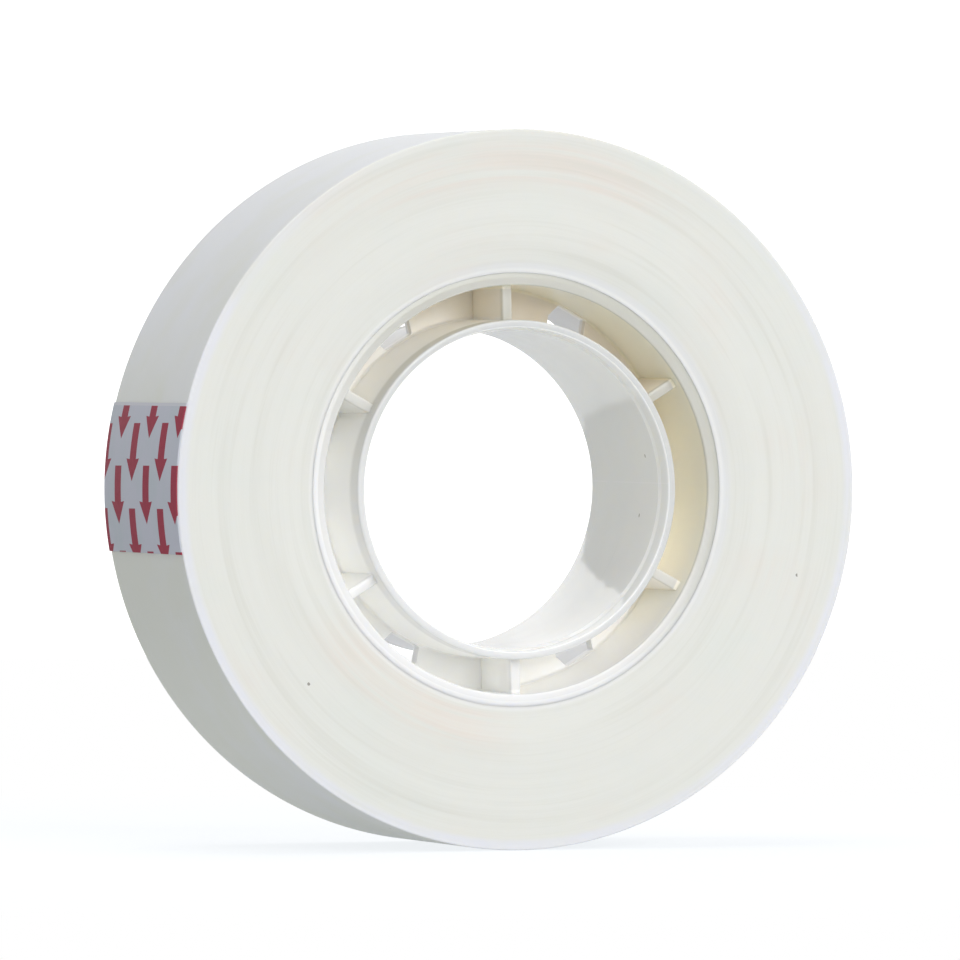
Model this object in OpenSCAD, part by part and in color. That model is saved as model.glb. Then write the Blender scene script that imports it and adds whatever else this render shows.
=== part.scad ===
// Roll of matt adhesive tape on a moulded double-ring core, with a printed starter tab.
// The roll's axis lies along Y, +Z is up, and the origin is the centre of the bore.

/* [Tape] */
// Width of the tape, which is also the width of the roll
tape_w = 18; // [12:0.5:25]
// Diameter over the last turn of a full roll
roll_d = 57.5; // [45:0.5:70]
// Thickness of the film with its adhesive
film_t = 0.05; // [0.04:0.01:0.1]
// Angle at which the last turn ends, from +X towards +Z
free_end = 190; // [0:1:359]

/* [Starter tab] */
// Length of the printed strip along the tape
tab_l = 12; // [8:0.5:20]
// Thickness of the printed strip
tab_t = 0.08; // [0.05:0.01:0.15]

/* [Core] */
// Bore that turns on a one-inch spindle
bore_d = 25.4; // [25.4:0.1:27]
// Diameter that the tape is wound on
core_d = 34.8; // [34:0.1:38]
// Width of the core, whose rims lie a little below the sides of the tape
core_w = 17.2; // [12:0.1:25]
// Wall of the inner ring at its rim
inner_wall = 0.6; // [0.6:0.05:1]
// Wall of the outer ring at its rim
outer_wall = 1.1; // [0.9:0.05:1.3]
// Growth of each wall from its rim to the web, so that the mould opens
draft = 0.1; // [0:0.05:0.2]
// Width of the bevel round the outer edge of each rim
rim_bevel = 0.5; // [0.1:0.05:0.6]
// Depth of that bevel, along the axis
bevel_drop = 0.2; // [0.1:0.05:0.6]
// Depth of the step at each mouth of the bore
mouth_l = 1.6; // [0.5:0.1:2]
// Radial size of that step
mouth_step = 0.2; // [0.2:0.05:0.3]
// Angle by which the core is turned from upright
core_turn = 1.4; // [-30:0.2:30]

/* [Web and ribs] */
// Thickness of the web that joins the two rings at mid-width
web_t = 1.2; // [0.8:0.1:2]
// Number of ribs, and of holes between them
rib_count = 6; // [3:1:8]
// Thickness of a rib at its open edge
rib_t = 0.8; // [0.6:0.05:1.2]
// Thickness of a rib where it meets the web
rib_root_t = 1; // [0.8:0.05:1.6]
// Depth of a rib's open edge below the rims
rib_drop = 1.4; // [0:0.1:4]
// Radial size of each six-sided hole, between its two flats
hole_h = 2.35; // [1.5:0.05:2.4]
// Length of those flats
hole_flat = 2.6; // [1:0.1:2.8]
// Width of the hole half way between them
hole_w = 3.4; // [3:0.1:3.8]

/* [Hidden] */
$fn = 180;
rim_y = core_w / 2;
bore_r = bore_d / 2;
core_r = core_d / 2;
mouth_r = bore_r + mouth_step;
inner_rim_r = mouth_r + inner_wall;
inner_web_r = inner_rim_r + draft;
outer_rim_r = core_r - outer_wall;
outer_web_r = outer_rim_r - draft;
hole_ring_r = (inner_web_r + outer_web_r) / 2;
bay_angle = 360 / rib_count;
rib_h = rim_y - rib_drop;
// How far the web and the ribs run into each ring's wall, so that they fuse
root = 0.3;
// Radius of the wound film just past its free end, where it is one film lower
low_r = roll_d / 2 - film_t;
tab_angle = tab_l * 360 / (PI * roll_d);

// Turns what is built along Z so that it runs along Y
module along_axis() {
    rotate([90, 0, 0]) children();
}

// ---- Core --------------------------------------------------------------

// Section of the outer ring from the mid-plane to one rim
module outer_ring_half() {
    polygon([
        [outer_web_r, 0], [core_r, 0], [core_r, rim_y - bevel_drop],
        [core_r - rim_bevel, rim_y], [outer_rim_r, rim_y]
    ]);
}

// Section of the inner ring from the mid-plane to one rim, with the stepped mouth of the bore
module inner_ring_half() {
    polygon([
        [bore_r, 0], [inner_web_r, 0], [inner_rim_r, rim_y], [mouth_r, rim_y],
        [mouth_r, rim_y - mouth_l], [bore_r, rim_y - mouth_l - mouth_step]
    ]);
}

module both_halves() {
    children();
    mirror([0, 1]) children();
}

module core_section() {
    both_halves() outer_ring_half();
    both_halves() inner_ring_half();
    translate([inner_web_r - root, -web_t / 2])
        square([outer_web_r - inner_web_r + 2 * root, web_t]);
}

// One rib, thinnest at its two open edges
module rib() {
    translate([inner_web_r - root, 0, 0])
        rotate([90, 0, 90])
            linear_extrude(outer_web_r - inner_web_r + 2 * root)
                polygon([
                    [rib_t / 2, -rib_h], [rib_root_t / 2, 0], [rib_t / 2, rib_h],
                    [-rib_t / 2, rib_h], [-rib_root_t / 2, 0], [-rib_t / 2, -rib_h]
                ]);
}

// Six-sided hole through the web, with flats towards both rings
module web_hole() {
    translate([hole_ring_r, 0, 0])
        linear_extrude(2 * web_t, center = true)
            polygon([
                [-hole_h / 2, -hole_flat / 2], [0, -hole_w / 2], [hole_h / 2, -hole_flat / 2],
                [hole_h / 2, hole_flat / 2], [0, hole_w / 2], [-hole_h / 2, hole_flat / 2]
            ]);
}

module core() {
    color("gainsboro")
        along_axis()
            rotate(90 + core_turn)
                difference() {
                    union() {
                        rotate_extrude() core_section();
                        for (i = [0 : rib_count - 1]) rotate(i * bay_angle) rib();
                    }
                    for (i = [0 : rib_count - 1]) rotate((i + 0.5) * bay_angle) web_hole();
                }
}

// ---- Tape --------------------------------------------------------------

// Half of a disc, on the side of the angle a
module half_disc(r, a) {
    intersection() {
        circle(r);
        rotate(a) translate([0, -2 * r]) square([2 * r, 4 * r]);
    }
}

// Outline of wound film: two half discs on shifted centres, whose radius grows from r
// to r + film_t in one turn and falls back at the free end
module wound(r) {
    rotate(free_end) {
        half_disc(r, 90);
        translate([film_t / 2, 0]) half_disc(r + film_t / 2, -90);
    }
}

// Sector of the roll between two angles less than a half turn apart
module sector(from, to) {
    polygon([[0, 0], roll_d * [cos(from), sin(from)], roll_d * [cos(to), sin(to)]]);
}

// All the turns, as one ring with the step of the free end in its outline
module tape() {
    color("ivory")
        along_axis()
            linear_extrude(tape_w, center = true)
                difference() {
                    wound(low_r);
                    circle(core_r);
                }
}

module starter_tab() {
    color("thistle")
        along_axis()
            linear_extrude(tape_w, center = true)
                intersection() {
                    difference() {
                        wound(low_r + tab_t);
                        wound(low_r);
                    }
                    sector(free_end - tab_angle, free_end);
                }
}

core();
tape();
starter_tab();
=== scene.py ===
"""Looks of a roll of adhesive tape: its moulded core, its wound tape and its printed starter tab.

Everything is in metres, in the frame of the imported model: the roll's axis is Y, Z is up, and the
origin is the centre of the bore. Angles round the roll run from +X towards +Z.
"""

import math

import bmesh
import bpy
from bpy.props import FloatProperty, FloatVectorProperty, IntProperty, PointerProperty
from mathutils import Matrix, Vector


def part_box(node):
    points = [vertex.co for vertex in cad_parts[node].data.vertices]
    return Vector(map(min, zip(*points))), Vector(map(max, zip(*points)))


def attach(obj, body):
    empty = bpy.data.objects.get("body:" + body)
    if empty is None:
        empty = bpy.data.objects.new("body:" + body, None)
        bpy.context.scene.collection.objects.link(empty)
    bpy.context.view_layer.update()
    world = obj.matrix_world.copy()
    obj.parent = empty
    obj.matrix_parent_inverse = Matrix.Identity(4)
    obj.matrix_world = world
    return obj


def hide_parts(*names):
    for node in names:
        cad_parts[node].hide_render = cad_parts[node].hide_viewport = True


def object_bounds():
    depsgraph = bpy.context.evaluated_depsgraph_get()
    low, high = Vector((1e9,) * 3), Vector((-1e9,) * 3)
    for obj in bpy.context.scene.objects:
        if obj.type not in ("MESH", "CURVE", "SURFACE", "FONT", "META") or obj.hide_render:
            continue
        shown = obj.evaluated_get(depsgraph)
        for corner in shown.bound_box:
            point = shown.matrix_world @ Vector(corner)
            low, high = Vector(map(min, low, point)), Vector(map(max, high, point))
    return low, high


bl_info = {
    "name": "Tape roll",
    "version": (1, 0, 0),
    "blender": (4, 5, 0),
    "location": "3D View > Sidebar > Tape roll",
    "description": "Dresses the packed model of a roll of adhesive tape",
    "category": "Add Mesh",
}

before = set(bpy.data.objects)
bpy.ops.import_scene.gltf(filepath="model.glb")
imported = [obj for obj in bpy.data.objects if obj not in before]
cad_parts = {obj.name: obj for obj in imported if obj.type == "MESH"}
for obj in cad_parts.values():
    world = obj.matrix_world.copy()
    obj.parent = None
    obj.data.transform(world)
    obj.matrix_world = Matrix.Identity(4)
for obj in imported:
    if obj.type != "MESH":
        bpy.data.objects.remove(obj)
CAD_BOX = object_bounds()
TAPE_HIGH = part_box("tape")[1]
CORE_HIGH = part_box("core")[1]

MM = 0.001
FULL_TURN = 2 * math.pi


# ---- Settings -----------------------------------------------------------------------------


def length(name, description, default):
    """A length in metres that a user can change."""
    return FloatProperty(
        name=name, description=description, default=default, min=0, precision=5, unit="LENGTH"
    )


def turn(name, description, degrees):
    """An angle that a user can change."""
    return FloatProperty(
        name=name, description=description, default=math.radians(degrees), unit="ROTATION"
    )


def colour(name, description, default):
    """A linear colour that a user can change."""
    return FloatVectorProperty(
        name=name, description=description, default=default, size=3, min=0, max=1, subtype="COLOR"
    )


class TapeRollCoreSizes(bpy.types.PropertyGroup):
    """Sizes of the moulded core."""

    bore_r: length("Bore radius", "Radius of the bore between its two mouths", 12.7 * MM)
    mouth_r: length("Mouth radius", "Radius of the bore at its mouths", 12.9 * MM)
    mouth_l: length("Mouth depth", "Depth of the step at each mouth of the bore", 1.6 * MM)
    inner_rim_r: length("Inner ring", "Outside radius of the inner ring at its rim", 13.5 * MM)
    outer_rim_r: length("Outer ring", "Inside radius of the outer ring at its rim", 16.3 * MM)
    draft: length("Draft", "Growth of each wall from its rim to the web", 0.1 * MM)
    rim_bevel: length("Rim bevel", "Width of the bevel round the outside of each rim", 0.5 * MM)
    bevel_drop: length("Bevel drop", "Depth of that bevel", 0.04 * MM)
    edge_r: length("Edge radius", "Rounding of the moulded edges", 0.14 * MM)
    web_t: length("Web thickness", "Thickness of the web between the rings", 1.2 * MM)
    rib_t: length("Rib edge", "Thickness of a rib at its open edges", 0.8 * MM)
    rib_root_t: length("Rib root", "Thickness of a rib at the web", 1.0 * MM)
    rib_drop: length("Rib drop", "Depth of a rib's open edge below the rims", 1.4 * MM)
    hole_h: length("Hole height", "Size of a web hole from ring to ring", 2.35 * MM)
    hole_flat: length("Hole flat", "Length of the hole's flats along the rings", 2.6 * MM)
    hole_w: length("Hole width", "Width of the hole half way between its flats", 3.4 * MM)
    rib_count: IntProperty(
        name="Ribs", description="Number of ribs, and of holes between them", default=6, min=3
    )
    core_turn: turn("Core turn", "Angle by which the first rib leans from upright", 1.4)


class TapeRollTapeSizes(bpy.types.PropertyGroup):
    """Sizes of the wound tape and of the starter tab."""

    roll_r: length("Roll radius", "Radius over the last turn of the tape", 28.72 * MM)
    film_t: length("Film thickness", "Thickness of the film with its adhesive", 0.05 * MM)
    edge_r: length("Edge radius", "Softness of the edge of the outermost turns", 0.14 * MM)
    lip_w: length("First turns", "Width of the first turns, which slope down to the core", 3.2 * MM)
    lip_drop: length("First turns' drop", "Depth of the very first turn below the side", 0.425 * MM)
    free_end: turn("Free end", "Angle at which the last turn ends", 190)
    waver: length("Waver", "Deepest hollow between groups of turns on the sides", 0.06 * MM)
    rings: IntProperty(
        name="Turn groups", description="Groups of turns modelled on each side", default=96, min=8
    )
    columns: IntProperty(
        name="Columns", description="Steps round the roll", default=400, min=60
    )
    seed: IntProperty(name="Seed", description="Seed of the winding lines", default=4)
    tab_l: length("Tab length", "Length of the printed strip along the tape", 12 * MM)
    tab_t: length("Tab thickness", "Thickness of the printed strip", 0.08 * MM)


class TapeRollColours(bpy.types.PropertyGroup):
    """Colours of the plastic, the film and the print."""

    plastic: colour("Plastic", "Milky plastic of the core", (0.84, 0.84, 0.84))
    # Painted shade: the rims darker and warmer towards the upper right
    plastic_painted_shade: colour("Warm rim", "The plastic where the tape tints it", (0.615, 0.612, 0.565))
    plastic_inside: colour("Pale bays", "The plastic down in its bays", (1.0, 1.0, 0.985))
    # Painted glow: the tan of the bays stands in for light that comes through the tape
    plastic_painted_glow: colour("Tan bays", "The plastic that glows from the tape", (1.0, 0.93, 0.79))
    film: colour("Film", "Matt film seen from outside", (0.765, 0.783, 0.805))
    # The olive film colour serves both the film's random clouds and painted shade towards the left
    film_olive_and_painted_shade: colour("Olive film", "The film where it is clearer", (0.73, 0.748, 0.69))
    side: colour("Side", "Cut edges of the film", (0.783, 0.787, 0.748))
    # Painted light: the pale colour of the cut edges in bands next to the core and the rim
    side_painted_light: colour("Pale side", "Cut edges near the core and the rim", (0.783, 0.792, 0.828))
    side_warm: colour("Warm side", "Faint warm bands of the cut edges", (0.792, 0.738, 0.684))
    side_dark: colour("Dark side", "Bands where the turns lie less close", (0.693, 0.693, 0.639))
    tab: colour("Tab", "Ground of the starter tab", (0.576, 0.594, 0.675))
    print: colour("Print", "Arrows on the starter tab", (0.405, 0.027, 0.063))


# ---- Node trees ---------------------------------------------------------------------------


def find_socket(sockets, key):
    """The socket at that place, or the first live one with that name or identifier."""
    if isinstance(key, int):
        return sockets[key]
    for socket in sockets:
        if socket.enabled and key in (socket.name, socket.identifier):
            return socket
    raise KeyError(f"there is no socket {key!r} among {[s.identifier for s in sockets]}")


class Value:
    """One socket of a node tree. Arithmetic on it adds Math nodes."""

    def __init__(self, tree, socket):
        self.tree, self.socket = tree, socket

    def __add__(self, other):
        return self.tree.maths("ADD", self, other)

    def __radd__(self, other):
        return self.tree.maths("ADD", other, self)

    def __sub__(self, other):
        return self.tree.maths("SUBTRACT", self, other)

    def __rsub__(self, other):
        return self.tree.maths("SUBTRACT", other, self)

    def __mul__(self, other):
        return self.tree.maths("MULTIPLY", self, other)

    def __rmul__(self, other):
        return self.tree.maths("MULTIPLY", other, self)

    def __truediv__(self, other):
        return self.tree.maths("DIVIDE", self, other)

    def __rtruediv__(self, other):
        return self.tree.maths("DIVIDE", other, self)

    def __abs__(self):
        return self.tree.maths("ABSOLUTE", self)

    def __mod__(self, other):
        return self.tree.maths("FLOORED_MODULO", self, other)

    def above(self, limit):
        return self.tree.maths("GREATER_THAN", self, limit)

    def below(self, limit):
        return self.tree.maths("LESS_THAN", self, limit)

    def power(self, exponent):
        return self.tree.maths("POWER", self, exponent)

    def ramp(self, low, high, out_low=0.0, out_high=1.0):
        """A smooth step from out_low at low to out_high at high."""
        return self.tree.node(
            "ShaderNodeMapRange",
            {
                "Value": self,
                "From Min": low,
                "From Max": high,
                "To Min": out_low,
                "To Max": out_high,
            },
            interpolation_type="SMOOTHSTEP",
        )


class Tree:
    """A node tree that is written as expressions."""

    def __init__(self, node_tree):
        self.tree = node_tree
        self.tree.nodes.clear()

    def node(self, kind, inputs=None, output=0, **settings):
        """Adds a node: its settings first, then the values or links of its sockets."""
        made = self.tree.nodes.new(kind)
        for name, value in settings.items():
            setattr(made, name, value)
        for key, value in (inputs or {}).items():
            self.feed(find_socket(made.inputs, key), value)
        if not made.outputs:
            return made
        return Value(self, find_socket(made.outputs, output))

    def feed(self, socket, value):
        if isinstance(value, Value):
            self.tree.links.new(value.socket, socket)
        elif isinstance(value, (list, tuple)) and value and isinstance(value[0], Value):
            for one in value:
                self.tree.links.new(one.socket, socket)
        elif isinstance(value, tuple) and len(value) == 3 and socket.type == "RGBA":
            socket.default_value = (*value, 1)
        else:
            socket.default_value = value

    def maths(self, operation, *values):
        """A Math node on numbers and values."""
        return self.node("ShaderNodeMath", dict(enumerate(values)), operation=operation)

    def other(self, value, output):
        """Another output of the node that value comes from."""
        return Value(self, find_socket(value.socket.node.outputs, output))

    def reach(self, vector):
        """How long a vector is."""
        return self.node("ShaderNodeVectorMath", {0: vector}, "Value", operation="LENGTH")

    def split(self, vector):
        """The three parts of a vector."""
        x = self.node("ShaderNodeSeparateXYZ", {0: vector})
        return x, self.other(x, 1), self.other(x, 2)

    def join(self, x, y, z):
        return self.node("ShaderNodeCombineXYZ", {0: x, 1: y, 2: z})

    def noise(self, place, scale, detail=2.0, roughness=0.5, output=0, **more):
        inputs = {"Vector": place, "Scale": scale, "Detail": detail, "Roughness": roughness}
        return self.node("ShaderNodeTexNoise", {**inputs, **more}, output)

    def mix(self, share, first, second, blend="MIX"):
        """The first colour where share is 0 and the second where it is 1."""
        return self.node(
            "ShaderNodeMix",
            {"Factor_Float": share, "A_Color": first, "B_Color": second},
            "Result_Color",
            data_type="RGBA",
            blend_type=blend,
        )


class Finish(Tree):
    """A node material."""

    def __init__(self, name):
        self.material = bpy.data.materials.new(name)
        self.material.use_nodes = True
        super().__init__(self.material.node_tree)
        self.place = self.node("ShaderNodeTexCoord", output="Object")
        self.x, self.y, self.z = self.split(self.place)

    def radius(self):
        """Distance from the roll's axis."""
        return (self.x * self.x + self.z * self.z).power(0.5)

    def towards(self, degrees):
        """1 on that side of the roll's axis, 0 a quarter turn away and -1 on the far side."""
        a = math.radians(degrees)
        return (self.x * math.cos(a) + self.z * math.sin(a)) / self.radius()

    def round_place(self, radius, along, turns):
        """A place for noise that runs in streaks along the winding.

        along is how fast it changes with the radius, per metre, and turns how fast round the roll.
        """
        r = radius
        return self.join(
            r * along, self.x / r * turns, self.z / r * turns + self.y.above(0) * (5 * turns)
        )

    def bump(self, height, distance, strength=1.0):
        return self.node(
            "ShaderNodeBump", {"Height": height, "Distance": distance, "Strength": strength}
        )

    def surface(self, **inputs):
        """Ends the material in a Principled shader with these sockets."""
        named = {key.replace("_", " "): value for key, value in inputs.items()}
        shader = self.node("ShaderNodeBsdfPrincipled", named)
        self.node("ShaderNodeOutputMaterial", {"Surface": shader})
        return self.material


class Growth(Tree):
    """A Geometry Nodes tree with named inputs, which a modifier runs on an object."""

    def __init__(self, name):
        self.group = bpy.data.node_groups.new(name, "GeometryNodeTree")
        super().__init__(self.group)
        self.group.interface.new_socket(
            "Geometry", in_out="OUTPUT", socket_type="NodeSocketGeometry"
        )
        self.inlet = None

    def ask(self, **kinds):
        for name, kind in {"Geometry": "Geometry", **kinds}.items():
            self.group.interface.new_socket(
                name.replace("_", " "), in_out="INPUT", socket_type="NodeSocket" + kind
            )
        self.inlet = self.group.nodes.new("NodeGroupInput")

    def given(self, name):
        return Value(self, self.inlet.outputs[name])

    def end(self, geometry):
        """Realizes the instances, gives the material and ends the tree."""
        whole = self.node("GeometryNodeRealizeInstances", {0: geometry})
        dressed = self.node(
            "GeometryNodeSetMaterial", {"Geometry": whole, "Material": self.given("Material")}
        )
        self.node("NodeGroupOutput", {0: dressed})

    def grow(self, obj, **values):
        """Runs the tree on obj and keeps the result as its plain mesh."""
        modifier = obj.modifiers.new(self.group.name, "NODES")
        modifier.node_group = self.group
        for item in self.group.interface.items_tree:
            key = item.name.replace(" ", "_")
            if item.in_out == "INPUT" and key in values:
                modifier[item.identifier] = values[key]
        bpy.context.view_layer.update()
        graph = bpy.context.evaluated_depsgraph_get()
        mesh = bpy.data.meshes.new_from_object(obj.evaluated_get(graph), depsgraph=graph)
        obj.modifiers.clear()
        obj.data = mesh
        return obj


# ---- Mesh helpers -------------------------------------------------------------------------


def add_object(name, mesh):
    obj = bpy.data.objects.new(name, mesh)
    bpy.context.scene.collection.objects.link(obj)
    return obj


def mesh_from(name, points, faces):
    """A mesh whose doubles are merged and whose faces point outwards."""
    mesh = bpy.data.meshes.new(name)
    mesh.from_pydata(points, [], faces)
    tidy(mesh)
    return mesh


def tidy(mesh):
    shape = bmesh.new()
    shape.from_mesh(mesh)
    bmesh.ops.remove_doubles(shape, verts=shape.verts, dist=1e-7)
    bmesh.ops.recalc_face_normals(shape, faces=shape.faces)
    shape.to_mesh(mesh)
    shape.free()


def smooth(mesh, degrees):
    """Smooth shading that breaks at edges sharper than the angle."""
    mesh.shade_smooth()
    mesh.set_sharp_from_angle(angle=math.radians(degrees))


def rounded(corners, steps=4):
    """A closed outline from (u, v, radius) corners, each rounded by an arc of that radius."""
    outline = []
    for i, (u, v, radius) in enumerate(corners):
        here = Vector((u, v))
        back = (Vector(corners[i - 1][:2]) - here).normalized()
        on = (Vector(corners[(i + 1) % len(corners)][:2]) - here).normalized()
        if radius <= 0:
            outline.append(tuple(here))
            continue
        half = back.angle(on) / 2
        reach = radius / math.tan(half)
        centre = here + (back + on).normalized() * (radius / math.sin(half))
        start, end = here + back * reach - centre, here + on * reach - centre
        sweep = start.angle_signed(end)
        for k in range(steps + 1):
            a = -sweep * k / steps
            turned = Vector(
                (
                    start.x * math.cos(a) - start.y * math.sin(a),
                    start.x * math.sin(a) + start.y * math.cos(a),
                )
            )
            outline.append(tuple(centre + turned))
    return outline


def revolve(name, outline, steps):
    """A closed outline of (radius, y) points turned once round the Y axis."""
    count = len(outline)
    points, faces = [], []
    for i in range(steps):
        a = FULL_TURN * i / steps
        points += [(r * math.cos(a), y, r * math.sin(a)) for r, y in outline]
        for j in range(count):
            k, n = (j + 1) % count, (i + 1) % steps
            faces.append((i * count + j, i * count + k, n * count + k, n * count + j))
    return mesh_from(name, points, faces)


def prism(name, outline, place, low, high):
    """A closed outline pushed from low to high. place turns (u, v, depth) into a point."""
    count = len(outline)
    points = [place(u, v, low) for u, v in outline] + [place(u, v, high) for u, v in outline]
    faces = [tuple(range(count)), tuple(range(count, 2 * count))]
    faces += [(j, (j + 1) % count, count + (j + 1) % count, count + j) for j in range(count)]
    return mesh_from(name, points, faces)


def settle(obj, node, degrees):
    """What every finished piece gets: smooth faces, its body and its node."""
    smooth(obj.data, degrees)
    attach(obj, "root")
    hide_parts(node)
    return obj


# ---- Core ---------------------------------------------------------------------------------

CORE_STEPS = 240
CORE_SHARP = 24
PLASTIC_IOR = 1.49
CORE_SCATTER = 0.6 * MM
CORE_BUMP = 0.02 * MM
SCATTER_TINT = (1.0, 0.95, 0.85)
# How far each end of a rib reaches into its ring
ROOT = 0.3 * MM
# Height of the bore's parting line, half its width, and the (y, z) places of the bore's specks
PARTING_Z = 0.44 * MM
PARTING_HALF = 0.05 * MM
SPECKS = ((-4.6 * MM, 2.6 * MM), (-3.1 * MM, -2.2 * MM))
SPECK_R = 0.09 * MM
SPECK_SQUASH = 0.6
BEVEL_PAINTED_LIGHT = (0.96, 0.96, 0.955)
BEVEL_PAINTED_SHADE = (0.62, 0.62, 0.555)
THIN_RIM_PAINTED_SHADE = (0.665, 0.68, 0.69)
SHADOW = (0.0, 0.0, 0.0)
BACK_BAYS_PAINTED_LIGHT = (0.98, 0.985, 1.0)
BORE_GREY = (0.95, 0.967, 0.933)
PARTING_WHITE = (0.99, 0.99, 0.98)
SPECK_BROWN = (0.20, 0.18, 0.12)


def core_outline(s):
    """Section of both rings and the web, as (radius, y) points with rounded edges."""
    core_r, rim = CORE_HIGH.x, CORE_HIGH.y
    share = 1 - s.web_t / 2 / rim
    outer_web_r = s.outer_rim_r - s.draft * share
    inner_web_r = s.inner_rim_r + s.draft * share
    step = s.mouth_r - s.bore_r
    e = s.edge_r
    half = [
        (core_r, rim - s.bevel_drop, e / 8),
        (core_r - s.rim_bevel, rim, e),
        (s.outer_rim_r, rim, e),
        (outer_web_r, s.web_t / 2, 2 * e),
        (inner_web_r, s.web_t / 2, 2 * e),
        (s.inner_rim_r, rim, e),
        (s.mouth_r, rim, e),
        (s.mouth_r, rim - s.mouth_l, e / 2),
        (s.bore_r, rim - s.mouth_l - step, e / 2),
    ]
    return rounded(half + [(r, -y, radius) for r, y, radius in reversed(half)])


def rib_mesh(s):
    """One rib on the +Z side, thinnest at its open edges."""
    top, edge, root, e = CORE_HIGH.y - s.rib_drop, s.rib_t / 2, s.rib_root_t / 2, s.edge_r
    half = [(edge, -top, e), (root, 0, 0), (edge, top, e)]
    outline = rounded(half + [(-u, -v, radius) for u, v, radius in half])
    return prism(
        "rib", outline, lambda u, v, d: (u, v, d), s.inner_rim_r - ROOT, s.outer_rim_r + ROOT
    )


def hole_mesh(s):
    """The six-sided cutter of one web hole on the +Z side."""
    middle = (s.inner_rim_r + s.outer_rim_r) / 2
    h, f, w, e = s.hole_h / 2, s.hole_flat / 2, s.hole_w / 2, s.edge_r
    half = [(f, -h, e), (w, 0, e), (f, h, e)]
    outline = rounded(half + [(-u, -v, radius) for u, v, radius in half], 2)
    return prism("web_hole", outline, lambda u, v, d: (u, d, middle + v), -s.web_t, s.web_t)


def core_growth():
    """Adds the ribs to the rings, and cuts the holes of the web between them."""
    g = Growth("Core ribs and holes")
    g.ask(Rib="Object", Hole="Object", Count="Int", First_turn="Float", Material="Material")
    count = g.given("Count")
    bay = FULL_TURN / count
    points = g.node("GeometryNodePoints", {"Count": count})
    index = g.node("GeometryNodeInputIndex")

    def ring(source, offset):
        # A turn about +Y leans +Z towards +X, against the sense of the angles round the roll
        spin = 0 - g.given("First turn") - (index + offset) * bay
        shape = g.node("GeometryNodeObjectInfo", {"Object": g.given(source)}, "Geometry")
        copies = g.node(
            "GeometryNodeInstanceOnPoints",
            {"Points": points, "Instance": shape, "Rotation": g.join(0.0, spin, 0.0)},
        )
        return g.node("GeometryNodeRealizeInstances", {0: copies})

    whole = g.node(
        "GeometryNodeMeshBoolean",
        {"Mesh 2": [g.given("Geometry"), ring("Rib", 0.0)]},
        operation="UNION",
        solver="EXACT",
    )
    cut = g.node(
        "GeometryNodeMeshBoolean",
        {"Mesh 1": whole, "Mesh 2": ring("Hole", 0.5)},
        operation="DIFFERENCE",
        solver="EXACT",
    )
    g.end(cut)
    return g


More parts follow.
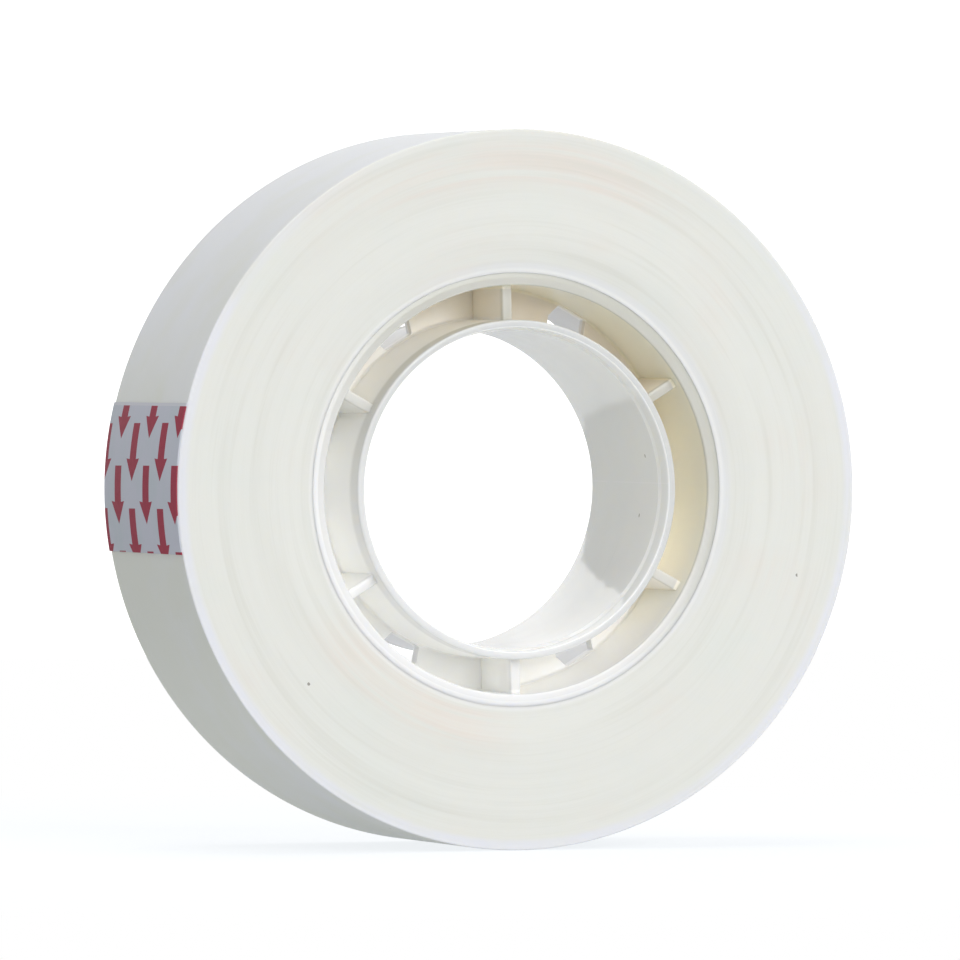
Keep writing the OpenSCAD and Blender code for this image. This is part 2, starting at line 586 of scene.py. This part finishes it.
def core_plastic(c, s):
    """Milky glossy plastic with faint flow marks, and painted light and shade: a tan painted glow
    in the bays and rims shaded by direction.
    """
    f = Finish("core plastic")
    r = f.radius()
    depth = CORE_HIGH.y - abs(f.y)
    clouds = f.noise(f.place, 160.0, 3.0)
    flow = f.noise(f.round_place(r, 260.0, 2.2), 1.0, 3.0, 0.55)
    waves = f.noise(f.place, 210.0, 1.0)

    # Rims: painted shade that makes them warmer and darker towards the upper right, whiter on the
    # other side, and painted shade that makes the thin inner ring greyer
    warm = f.towards(62).ramp(-1.05, 0.75) * clouds.ramp(0.3, 0.6, 0.9, 1.0)
    rim = f.mix(warm, c.plastic[:], c.plastic_painted_shade[:])
    bevel = r.ramp(CORE_HIGH.x - s.rim_bevel - 0.1 * MM, CORE_HIGH.x - s.rim_bevel)
    # Painted light and shade on the bevel: pale towards the lower left, darker and warmer towards
    # the upper right
    bevelled = f.mix(f.towards(60).ramp(-0.9, 0.6), BEVEL_PAINTED_LIGHT, BEVEL_PAINTED_SHADE)
    rim = f.mix(bevel * 0.9, rim, bevelled)
    # Painted shade: the thin inner rim greyer, more so where the rims are painted darker
    thin = r.ramp(s.inner_rim_r + 0.3 * MM, s.inner_rim_r) * depth.ramp(0.5 * MM, 0.1 * MM)
    rim = f.mix(thin * (warm * 0.35 + 0.45), rim, THIN_RIM_PAINTED_SHADE)

    # Bays: the inner ring stays white, the ribs and walls get a tan painted glow below their open
    # edges, the front half gets painted shade upwards, and the back half painted light
    inner_ring = r.ramp(s.inner_rim_r + 0.4 * MM, s.inner_rim_r + 0.1 * MM)
    outer_ring = r.ramp(s.outer_rim_r - 0.4 * MM, s.outer_rim_r - 0.2 * MM)
    ribs = depth.ramp(s.rib_drop, s.rib_drop + 0.8 * MM) * (1 - outer_ring)
    walls = depth.ramp(0.1 * MM, 0.5 * MM) * outer_ring
    # Painted glow: tan on the ribs and walls, strongest towards the upper right and on the outer
    # ring
    tan = f.towards(45).ramp(-0.7, 0.9) * (outer_ring * 0.5 + 0.5) * (1 - inner_ring)
    deep = f.mix(tan, c.plastic_inside[:], c.plastic_painted_glow[:])
    # Painted shade in the front half of the bays: darker upwards and towards the lower right on the
    # inner ring, ribs and web, and a little towards the right on the outer ring
    shade = f.z.ramp(-9 * MM, 12 * MM) * 0.14 + f.towards(-70).ramp(0.8, 1.0) * 0.03
    shade = shade * (1 - outer_ring) + f.towards(-5).ramp(0.6, 1.0) * 0.02 * outer_ring
    deep = f.mix(shade * f.y.below(0), deep, SHADOW)
    # Painted light: the back half of the bays pale and cool, without the tan painted glow
    deep = f.mix(f.y.above(0) * 0.85, deep, BACK_BAYS_PAINTED_LIGHT)
    bay = r.above(s.inner_rim_r - 0.02 * MM) * (1 - bevel)
    base = f.mix(bay * (ribs + walls), rim, deep)

    # Bore: smooth, with the faint parting line of the mould and two specks in the plastic
    bore = r.below(s.mouth_r + 0.1 * MM)
    line = abs(f.z - PARTING_Z).below(PARTING_HALF) * f.x.above(0) * clouds.above(0.42)
    speck = 0.0
    for y, z in SPECKS:
        away = f.reach(f.join(0.0, f.y - y, (f.z - z) * SPECK_SQUASH))
        speck = away.below(SPECK_R) * f.x.above(0) + speck
    base = f.mix(bore * 0.9, base, BORE_GREY)
    base = f.mix(bore * line * 0.4, base, PARTING_WHITE)
    base = f.mix(bore * speck * 0.7, base, SPECK_BROWN)
    return f.surface(
        Base_Color=base,
        Roughness=(0.2 + flow * 0.1) * (1 - bore * 0.86),
        IOR=PLASTIC_IOR,
        Subsurface_Weight=1.0,
        Subsurface_Radius=SCATTER_TINT,
        Subsurface_Scale=CORE_SCATTER,
        Normal=f.bump(flow * 0.5 + waves * 2.2, CORE_BUMP),
    )


# ---- Tape ---------------------------------------------------------------------------------

# Share of a turn in which the outline drops back at the free end
STEP_SHARE = 0.0002
# Width of the outside, next to each side, that wavers with it
SOFT_BAND = 0.4 * MM
# How far the first turns lap over the bevel of the core's rim, and the steps of their slope
OVERLAP = 0.13 * MM
LIP_STEPS = 12
FILM_SHARP = 30
FILM_IOR = 1.45
FILM_GLOSS = 0.35
FILM_SCATTER = 0.4 * MM
FILM_BUMP = 0.012 * MM
DUST_SCALE = 190.0
DUST_SIZE = 0.026
DUST_PICK = 0.52
PALE_PATCH = (0.756, 0.783, 0.747)
LIP_PAINTED_LIGHT = (0.88, 0.88, 0.855)
RUBBED = (0.79, 0.80, 0.81)
DUST = (0.30, 0.28, 0.25)


def tape_outline(s):
    """Section of the wound tape as (radius, y) points, from the core out, across and back."""
    inner, half = CORE_HIGH.x - OVERLAP, TAPE_HIGH.y
    edge = s.roll_r - s.film_t - s.edge_r
    # The first turns slope down to the core, steepest half way
    lip = []
    for k in range(LIP_STEPS):
        share = k / LIP_STEPS
        drop = s.lip_drop * (1 - share * share * (3 - 2 * share))
        lip.append((inner + s.lip_w * share, drop - half))
    start = inner + s.lip_w
    rings = lip + [(start + (edge - start) * k / s.rings, -half) for k in range(s.rings)]
    arc = [
        (edge + s.edge_r * math.sin(a), -half + s.edge_r * (1 - math.cos(a)))
        for a in (math.radians(15 * k) for k in range(7))
    ]
    outer = edge + s.edge_r
    across = [(outer, -half + SOFT_BAND), (outer, -half / 2)]
    front = rings + arc + across
    return front + [(outer, 0.0)] + [(r, -y) for r, y in reversed(front)] + [front[0]]


def tape_growth(count, s):
    """Winds the section round the roll: one film higher after a turn, with wavering sides."""
    g = Growth("Wound tape")
    g.ask(
        Columns="Int",
        Free_end="Float",
        Film_thickness="Float",
        Waver="Float",
        Seed="Float",
        Material="Material",
    )
    columns = g.given("Columns")
    grid = g.node(
        "GeometryNodeMeshGrid",
        {"Vertices X": columns + 1, "Vertices Y": count},
        "Mesh",
    )
    index = g.node("GeometryNodeInputIndex")
    column = g.maths("FLOOR", (index + 0.5) / count)
    row = index - column * count
    section = g.node(
        "GeometryNodeSampleIndex",
        {
            "Geometry": g.given("Geometry"),
            "Value": g.node("GeometryNodeInputPosition"),
            "Index": row,
        },
        data_type="FLOAT_VECTOR",
    )
    r, y, _ = g.split(section)
    last = column.above(columns - 0.5)
    share = (1 - last) * column / (columns - 1)
    angle = g.given("Free end") + (share * (1 - STEP_SHARE) + last) * FULL_TURN
    across = g.maths("COSINE", angle)
    up = g.maths("SINE", angle)
    inner = CORE_HIGH.x
    grown = r + g.given("Film thickness") * share * (r - inner) / (s.roll_r - inner)
    side = y.above(0)
    # Long shallow hollows, then groups of turns, then single turns that stand a little back
    seed = g.given("Seed")
    wide = g.noise(g.join(r * 180.0 + seed, across * 0.5, up * 0.5 + side * 9), 1.0, 1.0)
    group = g.noise(g.join(r * 900.0 - seed, across * 0.9, up * 0.9 + side * 5), 1.0, 2.0)
    single = g.noise(g.join(r * 5200.0 + seed, across * 1.6, up * 1.6 + side * 7), 1.0, 1.0)
    depth = wide.ramp(0.3, 0.7) * 0.6 + group.ramp(0.3, 0.7) * 0.3 + single * 0.1
    near = abs(y).ramp(TAPE_HIGH.y - SOFT_BAND, TAPE_HIGH.y)
    sunk = y - (side * 2 - 1) * near * depth * g.given("Waver")
    place = g.join(grown * across, sunk, grown * up)
    wound = g.node("GeometryNodeSetPosition", {"Geometry": grid, "Position": place})
    closed = g.node("GeometryNodeMergeByDistance", {"Geometry": wound, "Distance": 1e-6})
    g.end(closed)
    return g


def tape_film(c, s):
    """Matt film outside and its cut edges at the sides, with bands and fine winding lines."""
    f = Finish("matt film")
    r = f.radius()
    half = TAPE_HIGH.y
    is_side = abs(f.y).ramp(half - 0.16 * MM, half - 0.08 * MM)
    is_side = f.maths("MAXIMUM", is_side, r.below(s.roll_r - 0.4 * MM))

    # Cut edges: a slow change of tint, soft darker bands, and lines of a few turns
    broad = f.noise(f.round_place(r, 480.0, 0.9), 1.0, 1.0)
    bands = f.noise(f.round_place(r, 1250.0, 0.8), 1.0, 2.0, 0.6)
    lines = f.noise(f.round_place(r, 3400.0, 1.4), 1.0, 3.0, 0.6)
    turns = f.noise(f.round_place(r, 11000.0, 2.4), 1.0, 2.0, 0.6)
    patches = f.noise(f.place, 110.0, 3.0)
    top = f.towards(88).ramp(0.8, 0.97) * r.ramp(23.5 * MM, 25 * MM) * r.ramp(28 * MM, 27 * MM)
    bottom = f.towards(240).ramp(0.84, 0.97) * r.ramp(21.8 * MM, 20.2 * MM)
    warm = (top + bottom) * 0.8 + patches.ramp(0.5, 0.75) * 0.5
    side = f.mix(warm * bands.ramp(0.35, 0.6), c.side[:], c.side_warm[:])
    side = f.mix(patches.ramp(0.5, 0.3) * 0.5, side, PALE_PATCH)
    # Painted light: pale bands of the cut edges next to the core, towards the upper right, and next
    # to the rim, except at the top
    core_band = r.ramp(CORE_HIGH.x + 1.0 * MM, CORE_HIGH.x + 0.5 * MM)
    core_band = core_band * f.towards(40).ramp(0.0, 0.7) * 0.5
    rim_band = r.ramp(s.roll_r - 1.1 * MM, s.roll_r - 0.5 * MM) * patches.ramp(0.3, 0.55, 0.4, 1.0)
    rim_band = rim_band * (1 - f.towards(90).ramp(0.5, 0.9) * 0.85)
    side = f.mix(core_band + rim_band, side, c.side_painted_light[:])
    dark = bands.ramp(0.52, 0.70) * 0.34 + broad.ramp(0.5, 0.7) * 0.12
    dark = dark + lines.ramp(0.5, 0.75) * 0.18 + turns.ramp(0.45, 0.7) * 0.10
    side = f.mix(dark * (1 - rim_band * 0.6), side, c.side_dark[:])
    # Painted light: the first turns paler where they slope down to the core
    lip = r.ramp(CORE_HIGH.x + 0.35 * MM, CORE_HIGH.x + 0.1 * MM)
    side = f.mix(lip * 0.6, side, LIP_PAINTED_LIGHT)

    # Outside: olive clouds where the film lies more or less close, painted shade that makes it more
    # olive and darker on the left, painted light that makes it paler above, and long rub marks
    clouds = f.noise(f.place, 48.0, 3.0, 0.6)
    mottle = f.noise(f.join(f.x * 150.0, f.y * 190.0 + f.z * 80.0, f.z * 150.0), 1.0, 3.0)
    rub = f.noise(f.join(f.x * 120.0, f.y * 420.0, f.z * 120.0), 1.0, 3.0, 0.6)
    high = f.towards(105).ramp(0.2, 1.0)
    left = f.towards(190).ramp(0.5, 1.0)
    olive = clouds.ramp(0.36, 0.62) * 0.5 + mottle.ramp(0.4, 0.65) * 0.35
    olive = olive + left * 0.4 - high * 0.5 + 0.15
    outside = f.mix(olive, c.film[:], c.film_olive_and_painted_shade[:])
    outside = f.mix(rub.ramp(0.5, 0.8) * 0.25, outside, RUBBED)
    base = f.mix(is_side, outside, side)

    # Dust specks
    dust = f.node(
        "ShaderNodeTexVoronoi",
        {"Vector": f.place, "Scale": DUST_SCALE, "Randomness": 1.0},
        "Distance",
    )
    pick = f.noise(f.place, 60.0, 1.0)
    speck = dust.below(DUST_SIZE) * pick.above(DUST_PICK)
    base = f.mix(speck * 0.85, base, DUST)

    grain = f.noise(f.place, 3400.0, 2.0)
    height = is_side * (turns * 0.5 + lines * 0.5 + bands * 0.6)
    height = height + (1 - is_side) * (grain * 0.25 + rub * 0.5)
    return f.surface(
        Base_Color=base,
        Roughness=0.52 + grain * 0.1 + is_side * 0.1,
        IOR=FILM_IOR,
        Specular_IOR_Level=FILM_GLOSS,
        Subsurface_Weight=0.8,
        Subsurface_Radius=SCATTER_TINT,
        Subsurface_Scale=FILM_SCATTER,
        Normal=f.bump(height, FILM_BUMP),
    )


# ---- Starter tab --------------------------------------------------------------------------

TAB_STEPS = 48
TAB_EDGE = 0.03 * MM
TAB_BUMP = 0.008 * MM
PITCH_ALONG = 6.81 * MM
PITCH_ACROSS = 6.97 * MM
ARROW_LENGTH = 4.65 * MM
ARROW_HEAD = 1.76 * MM
SHAFT_HALF = 0.78 * MM
HEAD_HALF = 1.52 * MM
# How far a head's barbs point back, for each millimetre that they stand out from the shaft
SWEEP_BACK = 0.08
# Where the tail of the first whole arrow is round the roll, and its row across the strip
FIRST_TAIL = math.radians(169.35)
FIRST_ROW = 2.08 * MM
# How much the rows slant across the strip, and the bare margin at its top
SKEW = 0.009
TOP_MARGIN = 0.25 * MM
GROUND_CLOUD = (0.504, 0.585, 0.612)
GROUND_STREAK = (0.63, 0.612, 0.684)
BARE_GROUND = (0.702, 0.702, 0.738)
DARK_INK = (0.324, 0.027, 0.054)
FADED_INK = (0.468, 0.072, 0.108)


def tab_mesh(s):
    """The strip on the last turn, with softened edges."""
    low = s.roll_r - s.film_t
    span = s.tab_l / s.roll_r
    start = s.free_end - span
    half = TAPE_HIGH.y
    front, back = (-half, s.tab_t, TAB_EDGE), (half, s.tab_t, TAB_EDGE)
    outline = rounded([(-half, 0, 0), front, back, (half, 0, 0)], 3)
    points, faces = [], []
    count = len(outline)
    for i in range(TAB_STEPS + 1):
        share = i / TAB_STEPS
        a = start + span * share
        # The film under the tab has nearly climbed its whole step here
        under = low + s.film_t * (a - s.free_end + FULL_TURN) / FULL_TURN
        points += [((under + h) * math.cos(a), y, (under + h) * math.sin(a)) for y, h in outline]
    for i in range(TAB_STEPS):
        for j in range(count):
            k = (j + 1) % count
            faces.append((i * count + j, i * count + k, (i + 1) * count + k, (i + 1) * count + j))
    end = TAB_STEPS * count
    faces += [tuple(range(count)), tuple(range(end, end + count))]
    return mesh_from("starter_tab_strip", points, faces)


def tab_along(f, s):
    """Way along the tab in metres, growing downwards, from the tail of the first whole arrow."""
    angle = f.maths("ARCTAN2", f.z, 0 - f.x)
    return (math.pi - FIRST_TAIL) * s.roll_r - angle * s.roll_r


def arrows(f, along, shift_along, shift_across):
    """A mask of arrows that point down the tab, on a grid moved by these shares."""
    t = (along - f.y * SKEW + shift_along * PITCH_ALONG) % PITCH_ALONG
    u = (f.y - FIRST_ROW + (shift_across + 0.5) * PITCH_ACROSS) % PITCH_ACROSS
    u = abs(u - PITCH_ACROSS / 2)
    neck = ARROW_LENGTH - ARROW_HEAD
    shaft = u.below(SHAFT_HALF) * t.below(neck + 0.3 * MM)
    slope = HEAD_HALF / ARROW_HEAD
    head = u.below((ARROW_LENGTH - t) * slope) * t.above(neck - (u - SHAFT_HALF) * SWEEP_BACK)
    return f.maths("MAXIMUM", shaft, head)


def tab_print(c, s):
    """Grey strip with rows of red arrows, a little worn and cloudy."""
    f = Finish("tab print")
    along = tab_along(f, s)
    both = f.maths("MAXIMUM", arrows(f, along, 0, 0), arrows(f, along, 0.5, 0.5))
    # The strip's top edge stays bare
    bare_end = (s.free_end - FIRST_TAIL) * s.roll_r - s.tab_l + TOP_MARGIN
    both = both * along.above(bare_end)
    clouds = f.noise(f.place, 240.0, 3.0)
    streaks = f.noise(f.join(0.0, f.y * 1500.0, f.z * 60.0), 1.0, 3.0, 0.6)
    grain = f.noise(f.place, 2200.0, 2.0)
    ground = f.mix(clouds.ramp(0.35, 0.7) * 0.5, c.tab[:], GROUND_CLOUD)
    ground = f.mix(streaks.ramp(0.5, 0.75) * 0.3, ground, GROUND_STREAK)
    ground = f.mix(along.below(bare_end) * 0.6, ground, BARE_GROUND)
    ink = f.mix(grain.ramp(0.4, 0.7) * 0.35, c.print[:], DARK_INK)
    ink = f.mix(streaks.ramp(0.55, 0.8) * 0.3, ink, FADED_INK)
    return f.surface(
        Base_Color=f.mix(both * 0.96, ground, ink),
        Roughness=0.48 + grain * 0.12,
        IOR=FILM_IOR,
        Specular_IOR_Level=FILM_GLOSS,
        Normal=f.bump(grain * 0.3 + both * 0.4, TAB_BUMP),
    )


# ---- Stage --------------------------------------------------------------------------------

CAMERA_AZIMUTH = math.radians(-20.351)
CAMERA_ELEVATION = math.radians(0.764)
CAMERA_DISTANCE = 0.8491
CAMERA_LENS = 396.47
CAMERA_TILT = math.radians(0.0451)
SENSOR_WIDTH = 36
CLIP_END = 20
WHITE = (1.0, 1.0, 1.0)
FLOOR_SIZE = 0.5
FLOOR_COLOUR = (0.27, 0.27, 0.27)
FLOOR_TINT = (0.94, 0.97, 1.0)
# The floor's own light, and what the camera sees on top of it
FLOOR_GLOW = 0.432
FLOOR_LIFT = 0.36
# Distances from the roll between which the floor turns white to the camera
FADE = (0.03, 0.11)
# Where the floor turns dim to glossy rays: across the room, and away from the roll
DIM_FLOOR_SIDE = (-0.004, -0.010)
DIM_FLOOR_START = (0.05, 0.08)
# Light on diffuse rays: everywhere, more from above, and more from behind
AMBIENT = 0.336
TOP_LIGHT = 0.157
BACK_LIGHT = 1.1
BACK_SPREAD = (0.5, 0.95)
# What glossy rays see: dim walls on the left, brighter ones on the right, brightest high up
DIM_WALL = 0.15
WALL_EDGE = (-0.15, -0.12)
WALL_GAIN = 0.75
CEILING_EDGE = (0.1, 0.3)
CEILING_GAIN = 0.25
# Light that is passed on often is what makes the bays of a milky core pale
DIFFUSE_BOUNCES = 16
ALL_BOUNCES = 24
LAMPS = (
    # Name, place, size across, power in watts
    ("key softbox", (0.7, -0.75, 0.6), 0.7, 1.34),
    ("front softbox", (0.1, -1.1, 0.35), 0.7, 6.72),
    ("top softbox", (-0.1, 0.05, 1.1), 0.8, 3.36),
)


def make_camera():
    """A long lens, a little to the left of the roll's axis and just above its middle."""
    camera = bpy.data.objects.new("camera", bpy.data.cameras.new("camera"))
    bpy.context.scene.collection.objects.link(camera)
    camera.data.lens = CAMERA_LENS
    camera.data.sensor_width = SENSOR_WIDTH
    camera.data.clip_end = CLIP_END
    a, e = CAMERA_AZIMUTH, CAMERA_ELEVATION
    back = Vector((math.sin(a) * math.cos(e), -math.cos(a) * math.cos(e), math.sin(e)))
    right = (-back).cross(Vector((0, 0, 1))).normalized()
    forward = -back + right.cross(-back) * math.tan(CAMERA_TILT)
    camera.location = back * CAMERA_DISTANCE
    camera.rotation_euler = forward.to_track_quat("-Z", "Y").to_euler()
    bpy.context.scene.camera = camera


def make_floor():
    """A pale floor that looks white where the object throws no shadow."""
    floor = bpy.data.meshes.new("floor")
    size, z = FLOOR_SIZE, CAD_BOX[0].z
    corners = [(-size, -size, z), (size, -size, z), (size, size, z), (-size, size, z)]
    floor.from_pydata(corners, [], [(0, 1, 2, 3)])
    obj = add_object("floor", floor)
    f = Finish("pale floor")
    seen = f.node("ShaderNodeLightPath", output="Is Camera Ray")
    away = f.reach(f.join(f.x, f.y, 0.0))
    mirrored = f.other(seen, "Is Glossy Ray")
    dim = mirrored * f.x.ramp(*DIM_FLOOR_SIDE) * away.ramp(*DIM_FLOOR_START)
    diffuse = f.node("ShaderNodeBsdfDiffuse", {"Color": FLOOR_COLOUR})
    strength = FLOOR_GLOW + seen * FLOOR_LIFT
    glow = f.node("ShaderNodeEmission", {"Color": FLOOR_TINT, "Strength": strength})
    near = f.node("ShaderNodeAddShader", {0: diffuse, 1: glow})
    strength = seen + mirrored * DIM_WALL
    flat = f.node("ShaderNodeEmission", {"Color": WHITE, "Strength": strength})
    far = seen * away.ramp(*FADE) + dim
    both = f.node("ShaderNodeMixShader", {0: far, 1: near, 2: flat})
    f.node("ShaderNodeOutputMaterial", {"Surface": both})
    floor.materials.append(f.material)


def make_light():
    """Soft lamps in a room that is white to the camera and dimmer to the other rays."""
    world = bpy.data.worlds.new("white room")
    bpy.context.scene.world = world
    world.use_nodes = True
    w = Tree(world.node_tree)
    path = w.node("ShaderNodeLightPath", output="Is Camera Ray")
    glossy, through = w.other(path, "Is Glossy Ray"), w.other(path, "Is Transmission Ray")
    x, y, height = w.split(w.node("ShaderNodeTexCoord", output="Generated"))
    bright = x.ramp(*WALL_EDGE) * (height.ramp(*CEILING_EDGE) * CEILING_GAIN + WALL_GAIN)
    mirrored = glossy * (bright + DIM_WALL)
    soft = AMBIENT + height * TOP_LIGHT + y.ramp(*BACK_SPREAD) * BACK_LIGHT
    strength = w.maths("MAXIMUM", path, through)
    strength = w.maths("MAXIMUM", strength, mirrored)
    strength = w.maths("MAXIMUM", strength, (1 - glossy) * soft)
    sky = w.node("ShaderNodeBackground", {"Color": WHITE, "Strength": strength})
    w.node("ShaderNodeOutputWorld", {"Surface": sky})
    for name, place, size, power in LAMPS:
        lamp = bpy.data.lights.new(name, "AREA")
        lamp.shape, lamp.size, lamp.energy = "DISK", size, power
        obj = bpy.data.objects.new(name, lamp)
        obj.location = place
        obj.rotation_euler = (-Vector(place)).to_track_quat("-Z", "Y").to_euler()
        bpy.context.scene.collection.objects.link(obj)
    scene = bpy.context.scene
    scene.view_settings.view_transform = "Standard"
    scene.cycles.diffuse_bounces = DIFFUSE_BOUNCES
    scene.cycles.max_bounces = ALL_BOUNCES


# ---- Operators ----------------------------------------------------------------------------


class TAPEROLL_OT_core(bpy.types.Operator):
    """Builds the moulded core with its two rings, its web, its ribs and its holes"""

    bl_idname = "tape_roll.core"
    bl_label = "Core"

    def execute(self, context):
        s = context.scene.tape_roll_core
        core = add_object("core_moulding", revolve("core_moulding", core_outline(s), CORE_STEPS))
        rib = add_object("rib_shape", rib_mesh(s))
        hole = add_object("hole_shape", hole_mesh(s))
        core_growth().grow(
            core,
            Rib=rib,
            Hole=hole,
            Count=s.rib_count,
            First_turn=s.core_turn,
            Material=core_plastic(context.scene.tape_roll_colours, s),
        )
        for helper in (rib, hole):
            bpy.data.objects.remove(helper)
        if len(core.data.polygons) < CORE_STEPS:
            raise RuntimeError("the core came out empty")
        settle(core, "core", CORE_SHARP)
        return {"FINISHED"}


class TAPEROLL_OT_tape(bpy.types.Operator):
    """Winds the tape on the core, with a free end and wavering sides"""

    bl_idname = "tape_roll.tape"
    bl_label = "Tape"

    def execute(self, context):
        s = context.scene.tape_roll_tape
        outline = tape_outline(s)
        section = bpy.data.meshes.new("wound_tape")
        section.from_pydata([(r, y, 0) for r, y in outline], [], [])
        tape = add_object("wound_tape", section)
        tape_growth(len(outline), s).grow(
            tape,
            Columns=s.columns,
            Free_end=s.free_end,
            Film_thickness=s.film_t,
            Waver=s.waver,
            Seed=float(s.seed),
            Material=tape_film(context.scene.tape_roll_colours, s),
        )
        if len(tape.data.polygons) < s.columns:
            raise RuntimeError("the tape came out empty")
        tidy(tape.data)
        settle(tape, "tape", FILM_SHARP)
        return {"FINISHED"}


class TAPEROLL_OT_tab(bpy.types.Operator):
    """Lays the printed starter tab on the end of the tape"""

    bl_idname = "tape_roll.tab"
    bl_label = "Starter tab"

    def execute(self, context):
        s = context.scene.tape_roll_tape
        tab = add_object("starter_tab_strip", tab_mesh(s))
        tab.data.materials.append(tab_print(context.scene.tape_roll_colours, s))
        settle(tab, "starter_tab", FILM_SHARP)
        return {"FINISHED"}


class TAPEROLL_OT_stage(bpy.types.Operator):
    """Sets up the camera, the floor and the light"""

    bl_idname = "tape_roll.stage"
    bl_label = "Stage"

    def execute(self, context):
        make_camera()
        make_floor()
        make_light()
        return {"FINISHED"}


class TAPEROLL_PT_panel(bpy.types.Panel):
    """Lists the steps that build the roll"""

    bl_idname = "TAPEROLL_PT_panel"
    bl_label = "Tape roll"
    bl_space_type = "VIEW_3D"
    bl_region_type = "UI"
    bl_category = "Tape roll"

    def draw(self, context):
        for operator in OPERATORS:
            self.layout.operator(operator.bl_idname)
        for group in GROUPS:
            box = self.layout.box()
            settings = getattr(context.scene, GROUPS[group])
            for name in group.__annotations__:
                box.prop(settings, name)


GROUPS = {
    TapeRollCoreSizes: "tape_roll_core",
    TapeRollTapeSizes: "tape_roll_tape",
    TapeRollColours: "tape_roll_colours",
}
OPERATORS = (TAPEROLL_OT_core, TAPEROLL_OT_tape, TAPEROLL_OT_tab, TAPEROLL_OT_stage)


def register():
    for group, name in GROUPS.items():
        bpy.utils.register_class(group)
        setattr(bpy.types.Scene, name, PointerProperty(type=group))
    for operator in OPERATORS:
        bpy.utils.register_class(operator)
    bpy.utils.register_class(TAPEROLL_PT_panel)


def unregister():
    bpy.utils.unregister_class(TAPEROLL_PT_panel)
    for operator in reversed(OPERATORS):
        bpy.utils.unregister_class(operator)
    for group, name in GROUPS.items():
        delattr(bpy.types.Scene, name)
        bpy.utils.unregister_class(group)


def main():
    register()
    bpy.ops.tape_roll.stage()
    bpy.ops.tape_roll.core()
    bpy.ops.tape_roll.tape()
    bpy.ops.tape_roll.tab()


if __name__ == "__main__":
    main()
